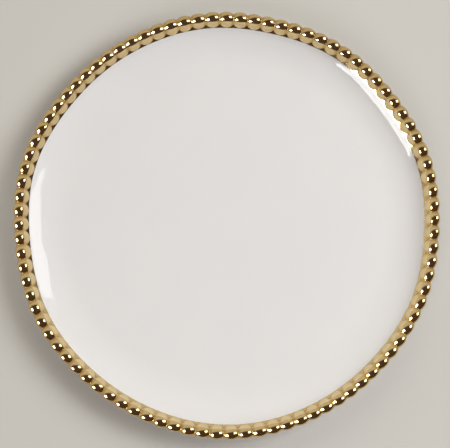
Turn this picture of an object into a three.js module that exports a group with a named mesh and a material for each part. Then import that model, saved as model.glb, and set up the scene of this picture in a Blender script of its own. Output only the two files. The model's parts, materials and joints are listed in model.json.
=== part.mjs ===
// A porcelain salad plate with a gilded band and a row of gilded beads along its rim.
// Millimetres, +Z up, origin on the table under the middle of the plate.
import * as THREE from 'three';
import { mergeVertices } from 'three/addons/utils/BufferGeometryUtils.js';

const DEGREE = Math.PI / 180;

// Overall
const PLATE_DIAMETER = 215.9; // across the outer sides of the beads
const CLEARANCE = 0.3; // between a piece and its neighbour
const TURN_STEPS = 92; // flats round the body and the band

// Porcelain body
const FOOT_HEIGHT = 3.6; // table to the underside within the foot ring
const FOOT_DIAMETER = 134; // across the outer edge of the foot ring's flat
const FOOT_WIDTH = 3.6; // of the flat that the plate stands on
const FOOT_DRAFT = 1.2; // how far each side of the foot ring leans
const BODY_THICKNESS = 4; // of the well's floor and the wall
const WALL_REACH = 22; // level half axis of the wall's elliptic sweep
const WALL_RISE = 8; // upright half axis of the same sweep
const WALL_STEPS = 5; // flats up the wall
const RIM_SLOPE = 37 * DEGREE; // of the gilded slope inside the rim's ridge
const LIP_SLOPE = 20 * DEGREE; // fall of the face outside the ridge
const LIP_WIDTH = 1.9; // of that face
const EDGE_BULGE = 0.4; // how far the rim's rounded edge swells
const EDGE_STEPS = 3; // flats round that edge

// Gilded band
const GOLD_WIDTH = 4.8; // up the slope, from the gold's inner edge to the bead row's middle line
const GOLD_THICKNESS = 0.6;

// Beads: pearls with a broad crown and a straight, steep inner side
const BEAD_COUNT = 92;
const BEADS_PER_STRIP = 4;
const FIRST_BEAD = 0.69 * DEGREE; // direction of the first bead's middle
const CROWN_OFFSET = 1; // how far a bead's crown stands outside the bead row's middle line
const CROWN_HEIGHT = 2.6; // and how far above it
const CROWN_ROUNDING = 4.2; // radius over the crown, across the rim
const CROWN_TURN = 23 * DEGREE; // how far that arc bends each way
const OUTER_ROUNDING = 1.9; // radius down the outer side
const SHOULDER_ROUNDING = 2.3; // radius down to the inner side
const FLANK_SLOPE = 63 * DEGREE; // of the inner side
const BEAD_DEPTH = 4.5; // from the crown to the root that a bead's sections shrink towards
const BEAD_LENGTH = 10; // along the rim, of the egg that a bead is a slice of
const NECK_SIZE = 0.66; // least size of a section between two beads
const BEAD_RINGS = [-0.5, -0.4, -0.2, 0, 0.2, 0.4]; // section places along a bead, in spacings
const OUTER_STEPS = 5; // flats down the outer side
const CROWN_STEPS = 2; // flats over the crown
const SHOULDER_STEPS = 2; // flats down the shoulder

// Uneven spacing of beads set by hand: cycles round the plate, shift, direction of the furthest shift
const SPACING_DRIFTS = [
  { cycles: 1, shift: 0.51 * DEGREE, peak: -47 * DEGREE },
  { cycles: 2, shift: 0.17 * DEGREE, peak: 37 * DEGREE },
  { cycles: 3, shift: 0.13 * DEGREE, peak: 15 * DEGREE },
];

// Uneven outline of a hand-finished rim: bumps round the plate, height, direction of a peak
const OUTLINE_WAVES = [
  { bumps: 2, height: 0.24, peak: 73 * DEGREE },
  { bumps: 3, height: 0.27, peak: 45 * DEGREE },
  { bumps: 4, height: 0.2, peak: 1 * DEGREE },
  { bumps: 6, height: 0.23, peak: 37 * DEGREE },
  { bumps: 7, height: 0.25, peak: 9 * DEGREE },
  { bumps: 8, height: 0.17, peak: 21 * DEGREE },
  { bumps: 9, height: 0.15, peak: 13 * DEGREE },
  { bumps: 10, height: 0.16, peak: 20 * DEGREE },
];
const WAVE_START = 70; // radius inside which the body is a true circle

const PORCELAIN = { color: 0xe6e2de, roughness: 0.08, metalness: 0 };
const GOLD = { color: 0xd6b06c, roughness: 0.1, metalness: 1 };

// Sections are drawn in a half plane: x is the radius, y the height.
const point = (radius, height) => new THREE.Vector2(radius, height);
const heading = (angle) => point(Math.cos(angle), Math.sin(angle));
const along = (from, direction, distance) => from.clone().addScaledVector(direction, distance);

// The rim's ridge: the gilded slope climbs to it and the lip falls away outside it.
const slopeUp = heading(RIM_SLOPE);
const slopeNormal = heading(RIM_SLOPE + Math.PI / 2);
const lipDown = heading(-LIP_SLOPE);
const lipNormal = heading(Math.PI / 2 - LIP_SLOPE);

// The wall is an elliptic sweep that ends where its slope is the rim's.
const sweepEnd = Math.atan((Math.tan(RIM_SLOPE) * WALL_REACH) / WALL_RISE);
const wellHeight = FOOT_HEIGHT + BODY_THICKNESS;
const outerTurn = Math.PI / 2 - CROWN_TURN;
const outerReach = OUTER_ROUNDING + (CROWN_ROUNDING - OUTER_ROUNDING) * Math.cos(outerTurn);
const beadRowRadius = PLATE_DIAMETER / 2 - outerReach - CROWN_OFFSET;
const goldEdgeRadius = beadRowRadius - GOLD_WIDTH * slopeUp.x;
const wellRadius = goldEdgeRadius - WALL_REACH * Math.sin(sweepEnd);

function wallPoint(sweep, depth) {
  const surface = point(
    wellRadius + WALL_REACH * Math.sin(sweep),
    wellHeight + WALL_RISE * (1 - Math.cos(sweep)),
  );
  const slope = Math.atan2(WALL_RISE * Math.sin(sweep), WALL_REACH * Math.cos(sweep));
  return along(surface, heading(slope + Math.PI / 2), -depth);
}

const goldEdge = wallPoint(sweepEnd, 0);
const beadRow = along(goldEdge, slopeUp, GOLD_WIDTH);
const seatDepth = GOLD_THICKNESS + CLEARANCE;
const crest = along(beadRow, slopeNormal, -seatDepth);
const beadRoot = point(beadRow.x, beadRow.y + CROWN_HEIGHT - BEAD_DEPTH);

// Height of a point above the gilded slope and above the lip.
const aboveSlope = (p) => p.clone().sub(goldEdge).dot(slopeNormal);
const aboveLip = (p) => p.clone().sub(crest).dot(lipNormal);

// The point at one height above the gilded slope and another above the lip.
function ridgePoint(slopeHeight, lipHeight) {
  const foot = along(beadRow, slopeNormal, slopeHeight);
  return along(foot, slopeUp, (lipHeight - aboveLip(foot)) / slopeUp.dot(lipNormal));
}

function outlineWave(angle) {
  return OUTLINE_WAVES.reduce((sum, w) => sum + w.height * Math.cos(w.bumps * (angle - w.peak)), 0);
}

function spacingDrift(angle) {
  return SPACING_DRIFTS.reduce((sum, d) => sum + d.shift * Math.cos(d.cycles * (angle - d.peak)), 0);
}

// Turns a section round the Z axis and pushes its outer part in and out with the outline.
function turned(section) {
  const lathe = new THREE.LatheGeometry(section, TURN_STEPS).rotateX(Math.PI / 2);
  lathe.deleteAttribute('normal');
  lathe.deleteAttribute('uv');
  const geometry = mergeVertices(lathe);
  const vertices = geometry.getAttribute('position');
  for (let i = 0; i < vertices.count; i += 1) {
    const x = vertices.getX(i);
    const y = vertices.getY(i);
    const radius = Math.hypot(x, y);
    const share = THREE.MathUtils.smoothstep(radius, WAVE_START, goldEdgeRadius);
    const stretch = share > 0 ? 1 + (share * outlineWave(Math.atan2(y, x))) / radius : 1;
    vertices.setXY(i, x * stretch, y * stretch);
  }
  return geometry;
}

function bodySection() {
  const footRadius = FOOT_DIAMETER / 2;
  const underside = [
    point(0, FOOT_HEIGHT),
    point(footRadius - FOOT_WIDTH - FOOT_DRAFT, FOOT_HEIGHT),
    point(footRadius - FOOT_WIDTH, 0),
    point(footRadius, 0),
    point(footRadius + FOOT_DRAFT, FOOT_HEIGHT),
  ];
  const wall = [];
  for (let i = 0; i <= WALL_STEPS; i += 1) {
    const sweep = (sweepEnd * i) / WALL_STEPS;
    underside.push(wallPoint(sweep, BODY_THICKNESS));
    if (i < WALL_STEPS) wall.unshift(wallPoint(sweep, 0));
  }
  const lipEnd = along(crest, lipDown, LIP_WIDTH);
  const halfEdge = (aboveSlope(lipEnd) + BODY_THICKNESS) / slopeNormal.y / 2;
  const edge = [];
  for (let i = 0; i < EDGE_STEPS; i += 1) {
    const turn = (Math.PI * i) / EDGE_STEPS;
    const swell = EDGE_BULGE * Math.sin(turn);
    edge.push(point(lipEnd.x + swell, lipEnd.y - halfEdge * (1 + Math.cos(turn))));
  }
  const stepTop = along(goldEdge, slopeUp, -CLEARANCE);
  const seatStart = along(stepTop, slopeNormal, -seatDepth);
  return [...underside, ...edge, lipEnd, crest, seatStart, stepTop, ...wall, point(0, wellHeight)];
}

function bandSection() {
  const section = [
    along(goldEdge, slopeNormal, -GOLD_THICKNESS),
    ridgePoint(-GOLD_THICKNESS, 0),
    ridgePoint(0, 0),
    goldEdge.clone(),
  ];
  return [...section, section[0]];
}

// Size of a bead's section at a distance from its middle: 1 there, least at the creases.
function sectionSize(distance) {
  const share = distance / (BEAD_LENGTH / 2);
  return Math.max(NECK_SIZE, Math.sqrt(Math.max(0, 1 - share * share)));
}

// Points on a circle from one angle to another.
function arc(centre, radius, start, end, steps) {
  const points = [];
  for (let i = 0; i <= steps; i += 1) {
    points.push(along(centre, heading(start + ((end - start) * i) / steps), radius));
  }
  return points;
}

// A bead's section: three arcs and the straight inner side, notched below to sit astride the ridge.
function beadSection(size) {
  const innerTurn = Math.PI / 2 + CROWN_TURN;
  const flankTurn = Math.PI / 2 + FLANK_SLOPE;
  const crownRadius = CROWN_ROUNDING * size;
  const outerRadius = OUTER_ROUNDING * size;
  const shoulderRadius = SHOULDER_ROUNDING * size;
  const crown = along(beadRoot, point(CROWN_OFFSET, BEAD_DEPTH - CROWN_ROUNDING), size);
  const outer = along(crown, heading(outerTurn), crownRadius - outerRadius);
  const shoulder = along(crown, heading(innerTurn), crownRadius - shoulderRadius);
  const lipCosine = (CLEARANCE - aboveLip(outer)) / outerRadius;
  const lipTurn = lipNormal.angle() - Math.acos(THREE.MathUtils.clamp(lipCosine, -1, 1));
  const flankStart = along(shoulder, heading(flankTurn), shoulderRadius);
  const flankDown = heading(flankTurn + Math.PI / 2);
  const flankLength = (CLEARANCE - aboveSlope(flankStart)) / flankDown.dot(slopeNormal);
  return [
    ridgePoint(CLEARANCE, CLEARANCE),
    ...arc(outer, outerRadius, lipTurn, outerTurn, OUTER_STEPS),
    ...arc(crown, crownRadius, outerTurn, innerTurn, CROWN_STEPS).slice(1),
    ...arc(shoulder, shoulderRadius, innerTurn, flankTurn, SHOULDER_STEPS).slice(1),
    along(flankStart, flankDown, flankLength),
  ];
}

// A closed solid through sections at given directions round the Z axis, with the outline's wave.
function swept(stations) {
  const positions = [];
  const triangles = [];
  const sides = stations[0].section.length;
  stations.forEach(({ angle, section }, ring) => {
    section.forEach((p, side) => {
      const radius = p.x + outlineWave(angle);
      positions.push(radius * Math.cos(angle), radius * Math.sin(angle), p.y);
      if (ring === 0) return;
      const here = ring * sides + side;
      const next = ring * sides + ((side + 1) % sides);
      triangles.push(here - sides, here, next, here - sides, next, next - sides);
    });
  });
  const last = (stations.length - 1) * sides;
  for (let side = 1; side < sides - 1; side += 1) {
    triangles.push(0, side, side + 1, last, last + side + 1, last + side);
  }
  const geometry = new THREE.BufferGeometry();
  geometry.setAttribute('position', new THREE.Float32BufferAttribute(positions, 3));
  geometry.setIndex(triangles);
  return geometry;
}

function beadStrip(firstBead, beads) {
  const spacing = (2 * Math.PI) / BEAD_COUNT;
  const places = [];
  for (let bead = 0; bead < beads; bead += 1) {
    BEAD_RINGS.forEach((share) => places.push(bead + share));
  }
  places.push(beads - 0.5);
  const endGap = CLEARANCE / 2 / (beadRowRadius * spacing);
  places[0] += endGap;
  places[places.length - 1] -= endGap;
  const stations = places.map((place) => {
    const even = FIRST_BEAD + (firstBead + place) * spacing;
    const fromMiddle = (place - Math.round(place)) * spacing * beadRowRadius;
    return { angle: even + spacingDrift(even), section: beadSection(sectionSize(fromMiddle)) };
  });
  return swept(stations);
}

const plate = new THREE.Group();

function add(name, geometry, finish) {
  const mesh = new THREE.Mesh(geometry, new THREE.MeshStandardMaterial(finish));
  mesh.name = name;
  plate.add(mesh);
}

add('plate_body', turned(bodySection()), PORCELAIN);
add('gold_band', turned(bandSection()), GOLD);
const stripCount = Math.ceil(BEAD_COUNT / BEADS_PER_STRIP);
for (let strip = 0; strip < stripCount; strip += 1) {
  const firstBead = strip * BEADS_PER_STRIP;
  const beads = Math.min(BEADS_PER_STRIP, BEAD_COUNT - firstBead);
  add(`bead_strip_${String(strip + 1).padStart(2, '0')}`, beadStrip(firstBead, beads), GOLD);
}

export default plate;
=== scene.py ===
# %% [markdown]
# # A porcelain salad plate with a gilded bead rim
# The plate is one fired piece: a shallow white dish whose rim carries a row of small pearls, all
# gilded with a mirror-bright gold. Its CAD model is already packed, with true sizes but coarse facets.
# This lesson loads that model as a fixed frame and builds a smooth, glazed and gilded piece for each
# of its nodes, in the same place and at the same size, then lights it like the photo.

# %% Load the CAD model as a fixed frame
import json
import math

import bpy
import numpy as np
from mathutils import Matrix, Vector

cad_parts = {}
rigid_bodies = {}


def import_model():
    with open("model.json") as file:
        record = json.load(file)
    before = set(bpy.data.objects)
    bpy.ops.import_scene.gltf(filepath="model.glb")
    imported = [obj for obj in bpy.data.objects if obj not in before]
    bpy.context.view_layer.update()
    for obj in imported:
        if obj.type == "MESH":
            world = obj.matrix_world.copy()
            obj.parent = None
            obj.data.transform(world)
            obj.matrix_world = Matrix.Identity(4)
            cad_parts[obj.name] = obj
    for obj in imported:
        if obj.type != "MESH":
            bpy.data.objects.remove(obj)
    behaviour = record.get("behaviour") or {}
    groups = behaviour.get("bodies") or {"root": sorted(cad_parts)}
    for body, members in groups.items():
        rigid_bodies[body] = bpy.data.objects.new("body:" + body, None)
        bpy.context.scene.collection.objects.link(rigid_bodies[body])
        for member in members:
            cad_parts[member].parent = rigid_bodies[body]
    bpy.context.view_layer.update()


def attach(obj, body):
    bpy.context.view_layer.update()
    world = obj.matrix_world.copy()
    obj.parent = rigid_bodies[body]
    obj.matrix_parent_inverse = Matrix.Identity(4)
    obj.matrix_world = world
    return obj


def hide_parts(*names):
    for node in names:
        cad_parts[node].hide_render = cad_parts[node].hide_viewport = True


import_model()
MM = 0.001
DEGREE = math.pi / 180

# %% [markdown]
# ## A rim that isn't a true circle
# Porcelain warps a little as it dries and is fired, so the outline of a hand-finished plate wavers by
# a few tenths of a millimetre. A noise texture could push the mesh about, but then the beads, the band
# and the body would drift apart. A sum of a few cosines of the direction is smooth, closes on itself
# after a full turn, and every piece can ask it the same question.

# %% The wavering outline
OUTLINE_WAVES = [  # bumps round the plate, height, direction of a peak
    (2, 0.24 * MM, 73 * DEGREE),
    (3, 0.27 * MM, 45 * DEGREE),
    (4, 0.20 * MM, 1 * DEGREE),
    (6, 0.23 * MM, 37 * DEGREE),
    (7, 0.25 * MM, 9 * DEGREE),
    (8, 0.17 * MM, 21 * DEGREE),
    (9, 0.15 * MM, 13 * DEGREE),
    (10, 0.16 * MM, 20 * DEGREE),
]


def outline_wave(angle):
    return sum(height * np.cos(bumps * (angle - peak)) for bumps, height, peak in OUTLINE_WAVES)


waver = outline_wave(np.linspace(0, 2 * math.pi, 720)) / MM
print("outline wavers from %.2f to %.2f mm" % (waver.min(), waver.max()))

# %% [markdown]
# ## Drawing a section
# A turned piece is drawn as its section first: a line in the half plane of radius and height. Straight
# lines meet in hard corners, and porcelain has none, so a corner can be given a radius. A bevel on the
# finished mesh would do that as well, but rounding the drawing keeps each radius in one place, by name.

# %% Lines, arcs and rounded corners
def heading(angle):
    return np.array([math.cos(angle), math.sin(angle)])


def arc(centre, radius, start, end, steps):
    return [centre + radius * heading(turn) for turn in np.linspace(start, end, steps + 1)]


def rounded(before, corner, after, radius, steps=6):
    """The corner between two straight lines, replaced by an arc that touches both."""
    into = (corner - before) / np.linalg.norm(corner - before)
    out = (after - corner) / np.linalg.norm(after - corner)
    bend = math.atan2(into[0] * out[1] - into[1] * out[0], into @ out)
    side = math.copysign(1, bend)
    touch = corner - into * radius * math.tan(abs(bend) / 2)
    start = math.atan2(into[1], into[0]) - side * math.pi / 2
    centre = touch - radius * heading(start)
    return arc(centre, radius, start, start + bend, steps)


square_corner = rounded(np.array([0, 0]), np.array([4, 0]), np.array([4, 4]), 1)
print("a rounded corner starts at", square_corner[0].round(2), "and ends at", square_corner[-1].round(2))

# %% [markdown]
# ## The lines of the rim
# The well's floor is flat. An elliptic sweep lifts it into the wall and ends at the slope of the rim,
# and the gilded band goes straight on up that slope to the ridge under the beads. A bead's crown stands
# a little outside the ridge. All the pieces are set out from these few sizes, which are the CAD model's,
# so they meet without any fitting by eye.

# %% Set out the rim
PLATE_DIAMETER = 215.9 * MM
FOOT_HEIGHT = 3.6 * MM
BODY_THICKNESS = 4 * MM
WALL_REACH = 22 * MM
WALL_RISE = 8 * MM
RIM_SLOPE = 37 * DEGREE
LIP_SLOPE = 20 * DEGREE
GOLD_WIDTH = 4.8 * MM
CROWN_ROUNDING = 4.2 * MM
CROWN_TURN = 23 * DEGREE
CROWN_OFFSET = 1 * MM
OUTER_ROUNDING = 1.9 * MM

crown_to_outer = (CROWN_ROUNDING - OUTER_ROUNDING) * math.sin(CROWN_TURN)
crown_radius = PLATE_DIAMETER / 2 - OUTER_ROUNDING - crown_to_outer
bead_row_radius = crown_radius - CROWN_OFFSET
gold_edge_radius = bead_row_radius - GOLD_WIDTH * math.cos(RIM_SLOPE)
sweep_end = math.atan(math.tan(RIM_SLOPE) * WALL_REACH / WALL_RISE)
well_radius = gold_edge_radius - WALL_REACH * math.sin(sweep_end)
well_height = FOOT_HEIGHT + BODY_THICKNESS


def wall_point(sweep, depth):
    """A point on the wall's sweep, or that depth below it."""
    surface = np.array([
        well_radius + WALL_REACH * math.sin(sweep),
        well_height + WALL_RISE * (1 - math.cos(sweep)),
    ])
    slope = math.atan2(WALL_RISE * math.sin(sweep), WALL_REACH * math.cos(sweep))
    return surface - depth * heading(slope + math.pi / 2)


gold_edge = wall_point(sweep_end, 0)
bead_row = gold_edge + GOLD_WIDTH * heading(RIM_SLOPE)
print("gold starts at radius %.1f mm, the bead row is at radius %.1f mm and height %.1f mm" % (
    gold_edge[0] / MM, bead_row[0] / MM, bead_row[1] / MM))

# %% [markdown]
# ## The body's section
# The body is jiggered: a disc of clay is pressed on a turning mould by a blade cut to the underside.
# Its section runs out from the middle of the underside, round the foot ring that the plate stands on,
# up under the wall, over the rounded rim and back down into the well. The potter wipes the foot ring's
# corners with a sponge, so they are softer than a drawing's. Two skins from a Solidify modifier would
# give the thickness too, but no foot ring.

# %% Draw the body's section
FOOT_RADIUS = 67 * MM
FOOT_WIDTH = 3.6 * MM
FOOT_DRAFT = 1.2 * MM
FOOT_SOFTNESS = 0.5 * MM
FOOT_HOLLOW = 1.4 * MM  # radius where the foot ring joins the underside
FLAT_UNDERSIDE = 55 * MM  # radius of the underside's flat middle
RIDGE_SHIFT = 0.25 * MM  # from the bead row down to the ridge
RIDGE_SOFTNESS = 0.6 * MM
EDGE_RADIUS = 106.8 * MM
EDGE_SOFTNESS = 1 * MM
UNDERSIDE_POINTS = 12
SWEEP_POINTS = 32
SLOPE_POINTS = 9
WELL_POINTS = 21

foot_corners = [
    np.array([0, FOOT_HEIGHT]),
    np.array([FOOT_RADIUS - FOOT_WIDTH - FOOT_DRAFT, FOOT_HEIGHT]),
    np.array([FOOT_RADIUS - FOOT_WIDTH, 0]),
    np.array([FOOT_RADIUS, 0]),
    np.array([FOOT_RADIUS + FOOT_DRAFT, FOOT_HEIGHT]),
    np.array([well_radius, FOOT_HEIGHT]),
]
foot_radii = [FOOT_HOLLOW, FOOT_SOFTNESS, FOOT_SOFTNESS, FOOT_HOLLOW]
underside = [np.array([radius, FOOT_HEIGHT]) for radius in np.linspace(0, FLAT_UNDERSIDE, UNDERSIDE_POINTS)]
for before, corner, after, radius in zip(foot_corners, foot_corners[1:], foot_corners[2:], foot_radii):
    underside += rounded(before, corner, after, radius)

sweeps = np.linspace(0, sweep_end, SWEEP_POINTS)
underside += [wall_point(sweep, BODY_THICKNESS) for sweep in sweeps]

ridge = bead_row - RIDGE_SHIFT * heading(RIM_SLOPE)
edge_foot = underside[-1] + heading(RIM_SLOPE) * (EDGE_RADIUS - underside[-1][0]) / math.cos(RIM_SLOPE)
edge_top = ridge + heading(-LIP_SLOPE) * (EDGE_RADIUS - ridge[0]) / math.cos(LIP_SLOPE)
edge = rounded(underside[-1], edge_foot, edge_top, EDGE_SOFTNESS)
lip = rounded(edge_foot, edge_top, ridge, EDGE_SOFTNESS)
crest = rounded(edge_top, ridge, gold_edge, RIDGE_SOFTNESS)
shares = np.linspace(0, 1, SLOPE_POINTS)[1:-1]
gold_slope = [crest[-1] + (gold_edge - crest[-1]) * share for share in shares]
wall = [wall_point(sweep, 0) for sweep in sweeps[::-1]]
well = [np.array([radius, well_height]) for radius in np.linspace(well_radius, 0, WELL_POINTS)[1:]]

body_section = underside + edge + lip + crest + gold_slope + wall + well
print("the body's section has", len(body_section), "points")

# %% [markdown]
# ## Turning a section into a piece
# Blender's Spin tool and Screw modifier turn a section into a true round. This rim isn't one, so the
# rings are placed by a short function that lets the outline's waver grow from nothing at the well to
# its full height at the gold. A point on the axis becomes a single vertex, so no face is pinched flat.

# %% The potter's wheel
WAVE_START = 70 * MM
TURN_STEPS = 368


def make_piece(name, points, faces, slot):
    """A smooth piece that rides on the plate's one body."""
    mesh = bpy.data.meshes.new(name)
    mesh.from_pydata([tuple(point) for point in points], [], faces)
    mesh.shade_smooth()
    piece = bpy.data.objects.new(name, mesh)
    bpy.context.scene.collection.objects.link(piece)
    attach(piece, "root")
    return piece


def turned(section, closed):
    """Points and faces of a section turned round the axis, with the outline's waver."""
    points = []
    rings = []
    angles = np.arange(TURN_STEPS) * 2 * math.pi / TURN_STEPS
    for radius, height in section:
        if radius == 0:
            rings.append([len(points)] * TURN_STEPS)
            points.append((0, 0, height))
            continue
        grown = np.clip((radius - WAVE_START) / (gold_edge_radius - WAVE_START), 0, 1)
        share = grown * grown * (3 - 2 * grown)
        rings.append(range(len(points), len(points) + TURN_STEPS))
        for angle in angles:
            wavering = radius + share * outline_wave(angle)
            points.append((wavering * math.cos(angle), wavering * math.sin(angle), height))
    pairs = list(zip(rings, rings[1:]))
    if closed:
        pairs.append((rings[-1], rings[0]))
    faces = []
    for ring, next_ring in pairs:
        for step in range(TURN_STEPS):
            after = (step + 1) % TURN_STEPS
            corners = [ring[step], ring[after], next_ring[after], next_ring[step]]
            faces.append(list(dict.fromkeys(corners)))
    return points, faces


plate_body = make_piece("porcelain_body", *turned(body_section, False), "porcelain")
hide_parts("plate_body")
print("porcelain_body:", len(plate_body.data.polygons), "faces")

# %% [markdown]
# ## The gilded band
# Liquid gold is brushed on over the glaze while the plate turns, from the foot of the beads down the
# slope, and between the beads over the ridge to the outer edge. It is only a film. A second material
# on the body could show it, but a thin ring of its own keeps the CAD model's node apart and gives the
# gold a real edge. Its section is the body's own line, lifted by the thickness of the film.

# %% Lay the gold film over the ridge
FILM_LIFT = 0.05 * MM
FILM_ROOT = 0.12 * MM  # how deep the ring reaches into the body, so that no gap shows
CREASE_ANGLE = 50 * DEGREE  # edges that bend more than this stay sharp


def lifted(line, distance):
    """A line moved square to itself, to the outer side of the body."""
    line = np.array(line)
    along = np.gradient(line, axis=0)
    along /= np.linalg.norm(along, axis=1)[:, None]
    return list(line + distance * np.stack([along[:, 1], -along[:, 0]], 1))


gilded_line = lip + crest + gold_slope + [gold_edge]
band_section = lifted(gilded_line, FILM_LIFT) + lifted(gilded_line, -FILM_ROOT)[::-1]
gold_band = make_piece("gold_band_film", *turned(band_section, True), "gold")
gold_band.data.set_sharp_from_angle(angle=CREASE_ANGLE)
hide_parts("gold_band")
print("gold_band_film:", len(gold_band.data.polygons), "faces")

# %% [markdown]
# ## A bead's section
# Each bead is a pearl pressed onto the rim. Cut across the rim it has a broad crown, a tight curve down
# the outer side, and a shoulder that turns into a straight, steep inner side. A stretched sphere would be
# quicker, but it mirrors the room differently: the broad crown holds the dark ceiling between the lamps,
# and the steep inner side shows the white well as a pale lobe.

# %% Draw a bead's section
CROWN_HEIGHT = 2.6 * MM  # above the bead row's line
SHOULDER_ROUNDING = 2.3 * MM
FLANK_SLOPE = 63 * DEGREE
FLANK_LENGTH = 4.9 * MM
BEAD_DEPTH = 4.5 * MM  # from the crown down to the bead's root, which every section shrinks towards
OUTER_START = -120 * DEGREE
ARC_STEPS = 10

bead_root = bead_row + np.array([0, CROWN_HEIGHT - BEAD_DEPTH])
bead_crown = np.array([CROWN_OFFSET, BEAD_DEPTH - CROWN_ROUNDING])


def bead_section(size, lean):
    """A bead's section, open below, shrunk towards its root and tipped by a small angle."""
    outer_turn = math.pi / 2 - CROWN_TURN
    inner_turn = math.pi / 2 + CROWN_TURN
    flank_turn = math.pi / 2 + FLANK_SLOPE
    outer = bead_crown + (CROWN_ROUNDING - OUTER_ROUNDING) * heading(outer_turn)
    shoulder = bead_crown + (CROWN_ROUNDING - SHOULDER_ROUNDING) * heading(inner_turn)
    points = arc(outer, OUTER_ROUNDING, OUTER_START, outer_turn, ARC_STEPS)
    points += arc(bead_crown, CROWN_ROUNDING, outer_turn, inner_turn, ARC_STEPS)[1:]
    points += arc(shoulder, SHOULDER_ROUNDING, inner_turn, flank_turn, ARC_STEPS)[1:]
    flank = FLANK_LENGTH * heading(flank_turn + math.pi / 2)
    points += [points[-1] + flank * share for share in (1 / 3, 2 / 3, 1)]
    tip = np.stack([heading(lean), heading(lean + math.pi / 2)])
    return bead_root + size * np.array(points) @ tip


widest = bead_section(1, 0)
print("a bead is %.2f mm wide and %.2f mm high in section" % tuple((widest.max(0) - widest.min(0)) / MM))

# %% [markdown]
# ## The unevenness of a hand
# The beads are pressed one after another by hand, so no two are quite the same size, and their spacing
# drifts by a fraction of a bead over a quarter of the rim. The slow drift is a few cosines, as for the
# outline. The small differences are random, drawn once from a seeded generator so that every run gives
# the same plate.

# %% Draw each bead's own size, place and lean
BEAD_COUNT = 92
FIRST_BEAD = 0.69 * DEGREE
SPACING_DRIFTS = [  # cycles round the plate, shift, direction of the furthest shift
    (1, 0.51 * DEGREE, -47 * DEGREE),
    (2, 0.17 * DEGREE, 37 * DEGREE),
    (3, 0.13 * DEGREE, 15 * DEGREE),
]
LARGEST_BEAD = 0.994  # as a share of the CAD model's
SIZE_SPREAD = 0.012
PLACE_SPREAD = 0.07 * DEGREE
LEAN_SPREAD = 1.2 * DEGREE
FURTHEST = 2  # no bead strays further than this many spreads
HAND_SEED = 92

hand = np.random.default_rng(HAND_SEED)
bead_sizes = LARGEST_BEAD - SIZE_SPREAD * np.abs(hand.standard_normal(BEAD_COUNT)).clip(0, FURTHEST)
bead_shifts = PLACE_SPREAD * hand.standard_normal(BEAD_COUNT).clip(-FURTHEST, FURTHEST)
bead_leans = LEAN_SPREAD * hand.standard_normal(BEAD_COUNT).clip(-FURTHEST, FURTHEST)


def at_place(values, place):
    """A value on the bead row, blended between the two nearest beads."""
    return np.interp(place, np.arange(BEAD_COUNT), values, period=BEAD_COUNT)


print("bead sizes run from %.3f to %.3f" % (bead_sizes.min(), bead_sizes.max()))

# %% [markdown]
# ## The bead strips
# Along the rim a bead swells and shrinks like a slice of a long egg, and meets its neighbour in a crease
# that the clay and the gold soften. The CAD model joins the beads four by four, and so does this one:
# each strip is swept through sections whose size follows a circle. They stand closer together at the
# creases, where the form turns fastest. Spheres joined by a boolean would cost more faces and leave
# ragged seams in so mirror-like a surface.

# %% Sweep the bead strips
BEADS_PER_STRIP = 4
BEAD_LENGTH = 10 * MM  # of the egg, which the neighbours cut short
CREASE_SOFTNESS = 0.12 * MM
RINGS_PER_BEAD = 26


def bead_size(place):
    """Size of the section along the row: 1 at the middle of a bead, least at a crease."""
    half_spacing = math.pi * bead_row_radius / BEAD_COUNT
    to_crease = half_spacing * (1 - 2 * abs(place - np.round(place)))
    from_middle = half_spacing - math.hypot(to_crease, CREASE_SOFTNESS)
    return math.sqrt(1 - (from_middle / (BEAD_LENGTH / 2)) ** 2)


def bead_angle(place):
    even = FIRST_BEAD + place * 2 * math.pi / BEAD_COUNT
    drift = sum(shift * math.cos(cycles * (even - peak)) for cycles, shift, peak in SPACING_DRIFTS)
    return even + drift + at_place(bead_shifts, place)


def bead_strip(first_bead):
    """Points, faces and the closeness to a crease of a strip of beads."""
    swing = np.sin(np.linspace(-1, 1, RINGS_PER_BEAD + 1) * math.pi / 2) / 2
    places = [first_bead - 0.5]
    for bead in range(first_bead, first_bead + BEADS_PER_STRIP):
        places += list(bead + swing[1:])
    points = []
    crevice = []
    for place in places:
        size = bead_size(place) * at_place(bead_sizes, place)
        section = bead_section(size, at_place(bead_leans, place))
        angle = bead_angle(place)
        radii = section[:, 0] + outline_wave(angle)
        points += list(np.stack([radii * math.cos(angle), radii * math.sin(angle), section[:, 1]], 1))
        crevice += [2 * abs(place - np.round(place))] * len(section)
    sides = len(section)
    last = len(points) - sides
    faces = [list(range(sides)), list(range(last, last + sides))[::-1]]
    for start in range(0, last, sides):
        for side in range(sides):
            after = (side + 1) % sides
            faces.append([start + side, start + sides + side, start + sides + after, start + after])
    return points, faces, crevice


bead_strips = []
for strip in range(BEAD_COUNT // BEADS_PER_STRIP):
    points, faces, crevice = bead_strip(strip * BEADS_PER_STRIP)
    piece = make_piece(f"beads_{strip + 1:02d}", points, faces, "gold")
    piece.data.set_sharp_from_angle(angle=CREASE_ANGLE)
    piece.data.attributes.new("crevice", "FLOAT", "POINT").data.foreach_set("value", crevice)
    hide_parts(f"bead_strip_{strip + 1:02d}")
    bead_strips.append(piece)
print(len(bead_strips), "strips of", len(bead_strips[0].data.polygons), "faces")

# %% [markdown]
# ## Shader maths in Python
# Materials are graphs of nodes. Wiring each Math node by hand is slow to write and hard to read, so a
# small class stands for one wire of the graph: adding or multiplying wires adds the Math node, and one
# method makes any other node from its settings and its sockets.

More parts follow.
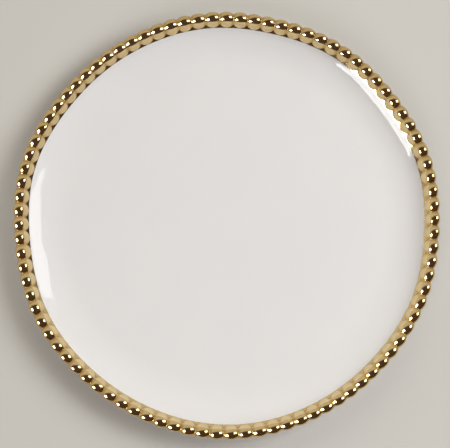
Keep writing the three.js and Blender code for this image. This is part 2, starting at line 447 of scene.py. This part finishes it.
# %% A wire of a shader graph
class Wire:
    """One output of a node. Sums and products of wires and numbers add Math nodes."""

    def __init__(self, tree, socket=None):
        self.tree = tree
        self.socket = socket

    def node(self, kind, settings=None, sockets=None, output=0):
        made = self.tree.nodes.new(kind)
        for name, value in (settings or {}).items():
            setattr(made, name, value)
        for name, value in (sockets or {}).items():
            if isinstance(value, Wire):
                self.tree.links.new(value.socket, made.inputs[name])
            else:
                made.inputs[name].default_value = value
        return Wire(self.tree, made.outputs[output])

    def math(self, operation, first, second):
        return self.node("ShaderNodeMath", {"operation": operation}, {0: first, 1: second})

    def __add__(self, other):
        return self.math("ADD", self, other)

    def __radd__(self, other):
        return self.math("ADD", other, self)

    def __sub__(self, other):
        return self.math("SUBTRACT", self, other)

    def __rsub__(self, other):
        return self.math("SUBTRACT", other, self)

    def __mul__(self, other):
        return self.math("MULTIPLY", self, other)

    def __rmul__(self, other):
        return self.math("MULTIPLY", other, self)

    def rise(self, low, high):
        """0 below low, 1 above high, smooth between."""
        sockets = {"Value": self, "From Min": low, "From Max": high}
        return self.node("ShaderNodeMapRange", {"interpolation_type": "SMOOTHSTEP"}, sockets)

    def noise(self, size, detail=2):
        """Cloudy values about 0.5, with patches of about that size in metres; self is the place."""
        sockets = {"Vector": self, "Scale": 1 / size, "Detail": detail}
        return self.node("ShaderNodeTexNoise", None, sockets)

    def vector(self, operation, other, output=0):
        """Vector maths with a constant vector."""
        return self.node("ShaderNodeVectorMath", {"operation": operation}, {0: self, 1: other}, output)

    def length(self):
        """How long a vector is: for a place, how far it lies from the origin."""
        return self.vector("LENGTH", (0, 0, 0), "Value")

    def along(self, direction):
        """How far a vector reaches in a direction."""
        return self.vector("DOT_PRODUCT", direction, "Value")

    def from_axis(self):
        """How far a place lies from the plate's axis."""
        return self.vector("MULTIPLY", (1, 1, 0)).length()

    def blend(self, colour, other_colour):
        """The first colour where self is 0 and the other where it is 1."""
        return self.node("ShaderNodeMix", {"data_type": "RGBA"}, {0: self, 6: colour, 7: other_colour}, 2)

    def relief(self):
        """A surface tilted as if it had these heights in metres."""
        return self.node("ShaderNodeBump", None, {"Height": self, "Strength": 1, "Distance": 1})


def new_finish(name):
    """An empty material, its shader and a wire that carries the place on the piece."""
    material = bpy.data.materials.new(name)
    material.use_nodes = True
    place = Wire(material.node_tree).node("ShaderNodeTexCoord", None, None, "Object")
    return material, material.node_tree.nodes["Principled BSDF"], place


def feed(shader, wires):
    for socket, wire in wires.items():
        wire.tree.links.new(wire.socket, shader.inputs[socket])


trial, trial_shader, trial_place = new_finish("trial")
feed(trial_shader, {"Roughness": 1 - 2 * trial_place.noise(10 * MM)})
print("1 - 2 x noise took", len(trial.node_tree.nodes) - 2, "nodes besides the shader and its output")
bpy.data.materials.remove(trial)

# %% [markdown]
# ## White glaze
# The glaze is a clear glass over white clay. It is never optically flat: it gathers on the wall in slow
# ripples, which break up the edge of a mirrored lamp, and everywhere in a fine skin like orange peel.
# Its white clouds very slightly, and handling leaves faint dull patches. A picture of a glaze would blur
# from close by, so noise of several sizes makes each of these.

# %% Mix the glaze
GLAZE_WHITE = (0.86, 0.845, 0.835, 1)
GLAZE_SHADE = (0.85, 0.837, 0.829, 1)
CLOUD_SIZE = 30 * MM
CLOUD_RANGE = (0.3, 0.7)  # of the noise, from white to shade
GLAZE_IOR = 1.5
GLAZE_ROUGHNESS = 0.04
SMUDGE_SIZE = 14 * MM
SMUDGE_RANGE = (0.5, 0.75)
SMUDGE_ROUGHNESS = 0.04  # added to the glaze's own
RIPPLE_SIZE = 22 * MM
RIPPLE_HEIGHT = 0.7 * MM  # for noise from 0 to 1, of which it uses about a fifth
RIPPLE_START = 84 * MM
RIPPLE_FULL = 97 * MM
PEEL_SIZE = 1.6 * MM
PEEL_HEIGHT = 0.0012 * MM

glaze, glaze_shader, glaze_place = new_finish("white_glaze")
white = glaze_place.noise(CLOUD_SIZE, detail=3).rise(*CLOUD_RANGE).blend(GLAZE_WHITE, GLAZE_SHADE)
smudge = glaze_place.noise(SMUDGE_SIZE, detail=4).rise(*SMUDGE_RANGE)
on_wall = glaze_place.from_axis().rise(RIPPLE_START, RIPPLE_FULL)
ripple = on_wall * glaze_place.noise(RIPPLE_SIZE, detail=1) * RIPPLE_HEIGHT
peel = glaze_place.noise(PEEL_SIZE, detail=1) * PEEL_HEIGHT
glaze_shader.inputs["IOR"].default_value = GLAZE_IOR
plate_body.data.materials.append(glaze)
print("white_glaze has", len(glaze.node_tree.nodes), "nodes so far")

# %% [markdown]
# ## The bare foot ring
# The flat of the foot ring is wiped clean before firing, so that the glaze doesn't stick to the shelf. It
# shows dry, faintly sandy clay that has picked up grey from the shelf. A second material on those faces
# would end in a hard line, so a mask by height fades from clay to glaze within a fraction of a millimetre.

# %% Bare the clay at the bottom
UP = (0, 0, 1)
BARE_BELOW = 0.06 * MM
GLAZED_ABOVE = 0.22 * MM
BARE_CLAY = (0.64, 0.60, 0.54, 1)
SHELF_GREY = (0.46, 0.43, 0.39, 1)
STAIN_SIZE = 3 * MM
STAIN_RANGE = (0.45, 0.8)
CLAY_ROUGHNESS = 0.7
SAND_SIZE = 0.35 * MM
SAND_HEIGHT = 0.03 * MM
SAND_ROUGHNESS = 0.2  # added to the clay's own

glazed = glaze_place.along(UP).rise(BARE_BELOW, GLAZED_ABOVE)
bare = 1 - glazed
sand = glaze_place.noise(SAND_SIZE, detail=3)
clay = glaze_place.noise(STAIN_SIZE, detail=4).rise(*STAIN_RANGE).blend(BARE_CLAY, SHELF_GREY)
glaze_roughness = GLAZE_ROUGHNESS + SMUDGE_ROUGHNESS * smudge
clay_roughness = CLAY_ROUGHNESS + SAND_ROUGHNESS * sand
feed(glaze_shader, {
    "Base Color": bare.blend(white, clay),
    "Roughness": glazed * glaze_roughness + bare * clay_roughness,
    "Normal": (glazed * (ripple + peel) + bare * sand * SAND_HEIGHT).relief(),
})
print("white_glaze has", len(glaze.node_tree.nodes), "nodes with the bare clay")

# %% [markdown]
# ## Bright gold
# Fired bright gold is a metal film on glass: it mirrors the room in gold's own colour. The brush leaves
# it faintly patchy, and where there is more of it, it is deeper and redder. It pools between the beads, and
# painted shade darkens the creases there as well; the colour is also deeper towards the rim's outer side.
# In the creases it is a little dull too. Under it the pressed clay is faintly lumpy, which makes each
# bead's mirror image slightly its own. A shader could guess where the creases are from the bend of the
# surface, but each strip already carries that as a value of its points.

# %% Mix the gold
GOLD_BRIGHT = (0.83, 0.66, 0.36, 1)
GOLD_DEEP = (0.60, 0.40, 0.15, 1)
GOLD_ROUGHNESS = 0.09
PATCH_SIZE = 6 * MM
PATCH_RANGE = (0.35, 0.75)
PATCH_DEPTH = 0.12
PATCH_ROUGHNESS = 0.05  # added to the gold's own
# Deeper, darker gold towards the rim's outer side, by distance from the axis.
OUTER_FROM = 103 * MM  # from the axis
OUTER_FULL = 107 * MM
OUTER_DEPTH = 0.4
# Painted shade in the creases between the beads, where the gold also pools, deepens the gold's colour
# there.
POOL_AND_SHADE_RANGE = (0.5, 0.95)  # of the way from a bead's middle to the crease
POOL_AND_SHADE_DEPTH = 0.85
POOL_ROUGHNESS = 0.12
LUMP_SIZE = 3 * MM
LUMP_HEIGHT = 0.03 * MM
STROKE_SIZE = 0.5 * MM
STROKE_HEIGHT = 0.0006 * MM

gold, gold_shader, gold_place = new_finish("bright_gold")
near_crease = gold_place.node("ShaderNodeAttribute", {"attribute_name": "crevice"}, None, "Fac")
patch = gold_place.noise(PATCH_SIZE, detail=3).rise(*PATCH_RANGE)
outer_side = gold_place.from_axis().rise(OUTER_FROM, OUTER_FULL)
# painted crease shade, partly gold that pools there, deepens the colour towards each crease
pool_and_crease_shade = near_crease.rise(*POOL_AND_SHADE_RANGE) * POOL_AND_SHADE_DEPTH
deeper = pool_and_crease_shade + PATCH_DEPTH * patch + OUTER_DEPTH * outer_side
lumps = gold_place.noise(LUMP_SIZE, detail=1) * LUMP_HEIGHT
strokes = gold_place.noise(STROKE_SIZE) * STROKE_HEIGHT
feed(gold_shader, {
    "Base Color": deeper.blend(GOLD_BRIGHT, GOLD_DEEP),
    "Roughness": GOLD_ROUGHNESS + PATCH_ROUGHNESS * patch + POOL_ROUGHNESS * pool_and_crease_shade,
    "Normal": (lumps + strokes).relief(),
})
gold_shader.inputs["Metallic"].default_value = 1
for piece in [gold_band, *bead_strips]:
    piece.data.materials.append(gold)
print("bright_gold has", len(gold.node_tree.nodes), "nodes, on", len(bead_strips) + 1, "pieces")

# %% [markdown]
# ## The floor
# The plate stands on a plain pale table. It reaches far enough that a low camera sees nothing but
# table behind the plate, and it is matt, so that it takes the plate's soft shadow and shows no lamp.
# The lamps stand close and leave its far parts dark, so these glow faintly instead, as pale as the rest.

# %% Lay the table
TABLE_REACH = 8
TABLE_PALE = (0.65, 0.628, 0.586, 1)
TABLE_SHADE = (0.64, 0.618, 0.576, 1)
TABLE_CLOUD_SIZE = 60 * MM
TABLE_ROUGHNESS = 0.9
NO_GLOW = (0, 0, 0, 1)
FAR_GLOW = (0.47, 0.45, 0.41, 1)
LAMPLIT_WITHIN = 0.4
UNLIT_BEYOND = 2

table_mesh = bpy.data.meshes.new("table")
table_corners = [(x * TABLE_REACH, y * TABLE_REACH, 0) for x, y in ((-1, -1), (1, -1), (1, 1), (-1, 1))]
table_mesh.from_pydata(table_corners, [], [(0, 1, 2, 3)])
table = bpy.data.objects.new("table", table_mesh)
bpy.context.scene.collection.objects.link(table)

paper, paper_shader, table_place = new_finish("pale_table")
far = table_place.length().rise(LAMPLIT_WITHIN, UNLIT_BEYOND)
feed(paper_shader, {
    "Base Color": table_place.noise(TABLE_CLOUD_SIZE).blend(TABLE_PALE, TABLE_SHADE),
    "Emission Color": far.blend(NO_GLOW, FAR_GLOW),
})
paper_shader.inputs["Emission Strength"].default_value = 1
paper_shader.inputs["Roughness"].default_value = TABLE_ROUGHNESS
table_mesh.materials.append(paper)
print("the table is", 2 * TABLE_REACH, "m square")

# %% [markdown]
# ## The lamps
# Two softboxes stand half way up on either side. Their mirror images are the two white crescents on the
# wall of the plate and the pair of highlights in each bead. The photo's shadow is softer and more even
# than those two alone would cast, so scrims stand round the table as well. Blender lets a lamp light
# things without showing in mirrors, as the scrims do, or show in mirrors without lighting things, as the
# left softbox does. A lamp's power is worked out from its brightness and its area, so that a larger one
# doesn't get dimmer. Their light is a touch cooler than white, against the brown of the room.

# %% Set up the softboxes and scrims
LAMPS = {  # direction from the right, height angle, distance, width, height, brightness, lights, mirrored
    "right_softbox": (15 * DEGREE, 46 * DEGREE, 1.7, 0.66, 0.9, 3.9, True, True),
    "left_softbox": (211 * DEGREE, 38 * DEGREE, 1.6, 0.64, 0.84, 10.5, False, True),
    "right_scrim": (8 * DEGREE, 50 * DEGREE, 1.9, 1.2, 1.2, 3.1, True, False),
    "back_scrim": (90 * DEGREE, 50 * DEGREE, 1.9, 1.2, 1.2, 0.9, True, False),
    "front_scrim": (260 * DEGREE, 50 * DEGREE, 1.9, 1.2, 1.2, 2.2, True, False),
}
DAYLIGHT = (0.975, 1, 1.015)

for name, (direction, elevation, distance, width, height, brightness, lights, mirrored) in LAMPS.items():
    light = bpy.data.lights.new(name, "AREA")
    light.shape = "RECTANGLE"
    light.size = width
    light.size_y = height
    light.energy = brightness * math.pi * width * height
    light.color = DAYLIGHT
    lamp = bpy.data.objects.new(name, light)
    bpy.context.scene.collection.objects.link(lamp)
    towards = Vector((*(heading(direction) * math.cos(elevation)), math.sin(elevation)))
    lamp.location = towards * distance
    lamp.rotation_euler = towards.to_track_quat("Z", "Y").to_euler()
    lamp.visible_camera = False
    lamp.visible_diffuse = lights
    lamp.visible_glossy = mirrored
    print(name, "gives %.0f W" % light.energy)

# %% [markdown]
# ## The room
# Gold has no colour of its own to show: it shows the room. The photo's room is dark and brown overhead,
# with a pale wall behind the plate that is highest in the middle and falls away to the sides. A backdrop
# of real walls would stand in the way of other views, so the world's colour does it, by direction: pale
# within a wide circle round a point below the horizon, faintly pale along the horizon, dark elsewhere.

# %% Paint the room by direction
ROOM_DARK = (0.08, 0.05, 0.036, 1)
ROOM_PALE = (0.60, 0.55, 0.47, 1)
PALE_DIRECTION = 105 * DEGREE
PALE_DROP = 30 * DEGREE
PALE_SPREAD = 92 * DEGREE
PALE_SOFTNESS = 8 * DEGREE
HORIZON_TOP = 6 * DEGREE
HORIZON_SHARE = 0.6

world = bpy.data.worlds.new("room")
bpy.context.scene.world = world
world.use_nodes = True
gaze = Wire(world.node_tree).node("ShaderNodeTexCoord", None, None, "Generated")
pale_middle = (*(heading(PALE_DIRECTION) * math.cos(PALE_DROP)), -math.sin(PALE_DROP))
facing = gaze.along(pale_middle)
wall_side = facing.rise(math.cos(PALE_SPREAD + PALE_SOFTNESS), math.cos(PALE_SPREAD - PALE_SOFTNESS))
above_horizon = gaze.along(UP).rise(0, math.sin(HORIZON_TOP))
low_light = HORIZON_SHARE * (1 - above_horizon) * (1 - wall_side)
feed(world.node_tree.nodes["Background"], {"Color": (wall_side + low_light).blend(ROOM_DARK, ROOM_PALE)})
print("the room's shader has", len(world.node_tree.nodes), "nodes")

# %% [markdown]
# ## The camera
# The photo looks almost straight down, tipped a few degrees towards the near edge, with a long lens.
# The lens is worked out from how many millimetres of the rim one pixel covers, and the aim from where
# the plate's middle falls in the picture, so the render's frame lies on the photo's.

# %% Place the camera
PICTURE_WIDTH = 450
PICTURE_HEIGHT = 448
PIXEL = 0.5033 * MM  # covered by one pixel at the height of the bead row
MIDDLE_ACROSS = 227.0  # where the plate's middle falls, in pixels from the left and from the top
MIDDLE_DOWN = 222.6
TILT = 6.8 * DEGREE
CAMERA_DISTANCE = 1.0
SENSOR_WIDTH = 36  # in millimetres, as the lens

lens = bpy.data.cameras.new("camera")
lens.sensor_width = SENSOR_WIDTH
lens.lens = SENSOR_WIDTH / (PICTURE_WIDTH * PIXEL) * CAMERA_DISTANCE
camera = bpy.data.objects.new("camera", lens)
bpy.context.scene.collection.objects.link(camera)
aim = Vector((
    (PICTURE_WIDTH / 2 - MIDDLE_ACROSS) * PIXEL,
    (MIDDLE_DOWN - PICTURE_HEIGHT / 2) * PIXEL,
    bead_row[1],
))
camera.location = aim + CAMERA_DISTANCE * Vector((0, -math.sin(TILT), math.cos(TILT)))
camera.rotation_euler = (TILT, 0, 0)
bpy.context.scene.camera = camera
bpy.context.scene.view_settings.view_transform = "Standard"
print("lens of %.0f mm" % lens.lens)
